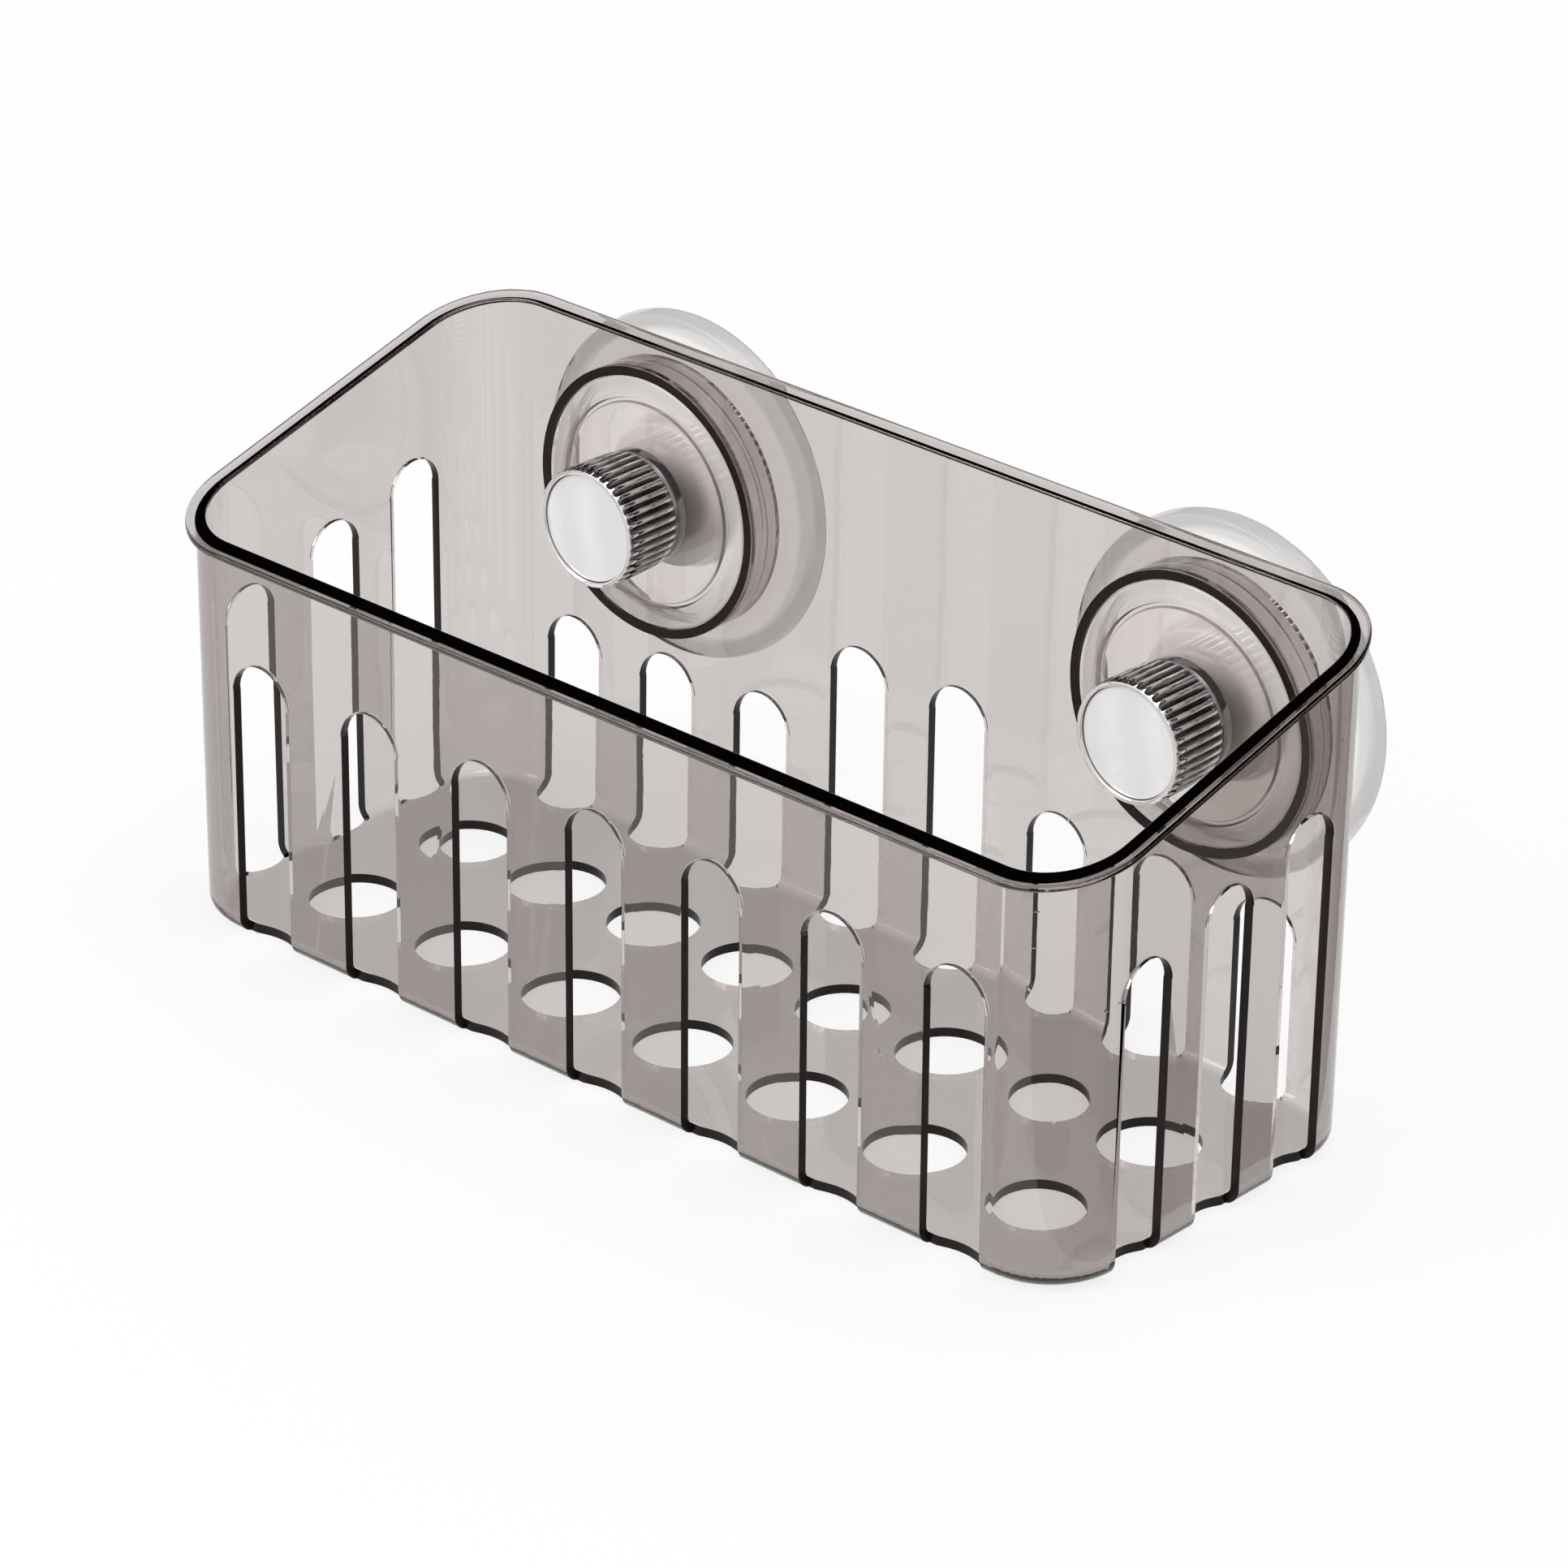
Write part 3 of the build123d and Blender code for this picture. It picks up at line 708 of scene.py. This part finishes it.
def seenDirectly(tree):
    # one for rays from the camera, off gloss or through plastic, and nought for the light on the object
    path = addNode(tree, "ShaderNodeLightPath", -700, 200)
    first = addNode(tree, "ShaderNodeMath", -500, 200, operation="MAXIMUM")
    second = addNode(tree, "ShaderNodeMath", -300, 200, operation="MAXIMUM")
    tree.links.new(path.outputs["Is Camera Ray"], first.inputs[0])
    tree.links.new(path.outputs["Is Glossy Ray"], first.inputs[1])
    tree.links.new(first.outputs[0], second.inputs[0])
    tree.links.new(path.outputs["Is Transmission Ray"], second.inputs[1])
    return second.outputs[0]


def paleWorld(s):
    # white where it is seen, and dimmer for the light on the object
    world = bpy.data.worlds.new("paleRoom")
    bpy.context.scene.world = world
    world.use_nodes = True
    tree = world.node_tree
    tree.nodes.clear()
    shown = addNode(tree, "ShaderNodeBackground", -200, 0)
    setSockets(shown, {"Color": white, "Strength": 1.0})
    fill = addNode(tree, "ShaderNodeBackground", -200, -200)
    setSockets(fill, {"Color": white, "Strength": s["fill"]})
    mix = addNode(tree, "ShaderNodeMixShader", 100, 0)
    out = addNode(tree, "ShaderNodeOutputWorld", 300, 0)
    tree.links.new(seenDirectly(tree), mix.inputs["Fac"])
    tree.links.new(fill.outputs[0], mix.inputs[1])
    tree.links.new(shown.outputs[0], mix.inputs[2])
    tree.links.new(mix.outputs[0], out.inputs["Surface"])


def clothMaterial(name, color):
    # plain matte cloth or board; its tree, shader and output come back too, for further nodes
    material, tree = freshMaterial(name)
    matte = addNode(tree, "ShaderNodeBsdfDiffuse", -200, -100)
    setSockets(matte, {"Color": (*color, 1)})
    out = addNode(tree, "ShaderNodeOutputMaterial", 400, 0)
    tree.links.new(matte.outputs[0], out.inputs["Surface"])
    return material, tree, matte, out


def backdrop(name, points, quads, material, drop=0.0):
    # a part of the studio, which rides on nothing
    mesh = bpy.data.meshes.new(name)
    mesh.from_pydata(points, [], quads)
    thing = place(name, mesh, material)
    thing.location.z = drop * mm
    return thing


def flatSheet(name, corner, opposite, material, drop):
    # a level rectangle between two opposite corners
    (x0, y0), (x1, y1) = corner, opposite
    corners = [(x0, y0, 0), (x1, y0, 0), (x1, y1, 0), (x0, y1, 0)]
    return backdrop(name, corners, [(0, 1, 2, 3)], material, drop)


def paleFloor(s):
    # white where it is seen, and plain matte for the light on the object, so it keeps the object's shadow
    material, tree, matte, out = clothMaterial("paleFloor", s["floorColor"])
    glow = addNode(tree, "ShaderNodeEmission", -200, -250)
    setSockets(glow, {"Color": white, "Strength": 1.0})
    share = addNode(tree, "ShaderNodeMath", 0, 200, operation="MULTIPLY")
    share.inputs[1].default_value = s["floorGlow"]
    both = addNode(tree, "ShaderNodeMixShader", 200, 0)
    tree.links.new(seenDirectly(tree), share.inputs[0])
    tree.links.new(share.outputs[0], both.inputs["Fac"])
    tree.links.new(matte.outputs[0], both.inputs[1])
    tree.links.new(glow.outputs[0], both.inputs[2])
    tree.links.new(both.outputs[0], out.inputs["Surface"])
    half = s["floorHalf"]
    flatSheet("floor", (-half, -half), (half, half), material, s["floorDrop"])


def onlyInGloss(thing):
    # neither the camera nor matte faces see it, and it throws no shadow
    thing.visible_camera = False
    thing.visible_diffuse = False
    thing.visible_shadow = False


def darkCard(s, material):
    # a black card lying to the right, which only gloss sees, so that the end wall shows no white floor
    card = flatSheet("darkCard", s["cardFrom"], s["cardTo"], material, s["cardDrop"])
    onlyInGloss(card)
    card.visible_transmission = False


def darkDrape(s, material):
    # a black cloth hung round the back, which only gloss and plastic see, for dark streaks in bright metal:
    # part of a ball, x = -r cos e sin a, y = r cos e cos a, z = r sin e
    rows, columns = s["drapePoints"]
    azimuth, elevation = np.meshgrid(np.radians(np.linspace(*s["drapeAzimuth"], rows)),
                                     np.radians(np.linspace(*s["drapeElevation"], columns)), indexing="ij")
    points = s["drapeRadius"] * np.stack([
        -np.cos(elevation) * np.sin(azimuth), np.cos(elevation) * np.cos(azimuth),
        np.sin(elevation)], axis=-1)
    quads = gridQuads(rows, columns, closed=False)
    onlyInGloss(backdrop("darkDrape", points.reshape(-1, 3).tolist(), quads.tolist(), material))


def softLamp(name, where, size, power, aim):
    # a rectangular lamp that faces the aim point
    lamp = bpy.data.lights.new(name, "AREA")
    lamp.shape = "RECTANGLE"
    lamp.size, lamp.size_y = size
    lamp.energy = power
    thing = bpy.data.objects.new(name, lamp)
    thing.location = where
    thing.rotation_euler = (Vector(aim) - Vector(where)).to_track_quat("-Z", "Y").to_euler()
    bpy.context.scene.collection.objects.link(thing)


paleWorld(studio)
paleFloor(studio)
blackCloth = clothMaterial("blackCloth", studio["clothColor"])[0]
darkDrape(studio, blackCloth)
darkCard(studio, blackCloth)
softLamp("keyLamp", studio["keyPlace"], studio["keySize"], studio["keyPower"], studio["lampsAim"])
softLamp("topLamp", studio["topPlace"], studio["topSize"], studio["topPower"], studio["lampsAim"])
print("studio set")

# Camera at the photo's viewing angle, angles in degrees, focal length, shifts and frame in pixels

view = {
    "azimuth": 42.028, "elevation": 26.560, "roll": 0.655, "distance": 1367.94, "focal": 8835.66,
    "sideways": -31.855, "upwards": -200.180, "aimHeight": 85.6, "frame": 1932.0,
    "sensor": 36.0, "clip": (0.05, 20.0),        # sensor in millimetres, clip in metres
}


def photoCamera(v):
    # back points from the object to the camera; the camera is moved sideways in its own plane
    # so that the aim point lands the given number of pixels off the middle
    azimuth, elevation, roll = (np.radians(v[k]) for k in ("azimuth", "elevation", "roll"))
    back = np.array([np.sin(azimuth) * np.cos(elevation), -np.cos(azimuth) * np.cos(elevation),
                     np.sin(elevation)])
    level = np.array([np.cos(azimuth), np.sin(azimuth), 0])
    upright = np.cross(back, level)
    right = level * np.cos(roll) + upright * np.sin(roll)
    up = -level * np.sin(roll) + upright * np.cos(roll)
    perPixel = v["distance"] / v["focal"]
    where = back * v["distance"] - right * v["sideways"] * perPixel + up * v["upwards"] * perPixel
    where = (where + np.array([0, 0, v["aimHeight"]])) * mm
    lens = bpy.data.cameras.new("photoCamera")
    lens.sensor_width = v["sensor"]
    lens.lens = v["sensor"] * v["focal"] / v["frame"]
    lens.clip_start, lens.clip_end = v["clip"]
    camera = bpy.data.objects.new("photoCamera", lens)
    turn = np.eye(4)
    turn[:3, 0], turn[:3, 1], turn[:3, 2], turn[:3, 3] = right, up, back, where
    camera.matrix_world = Matrix(turn.tolist())
    bpy.context.scene.collection.objects.link(camera)
    bpy.context.scene.camera = camera


photoCamera(view)
bpy.context.scene.view_settings.view_transform = "Standard"
print("camera set")
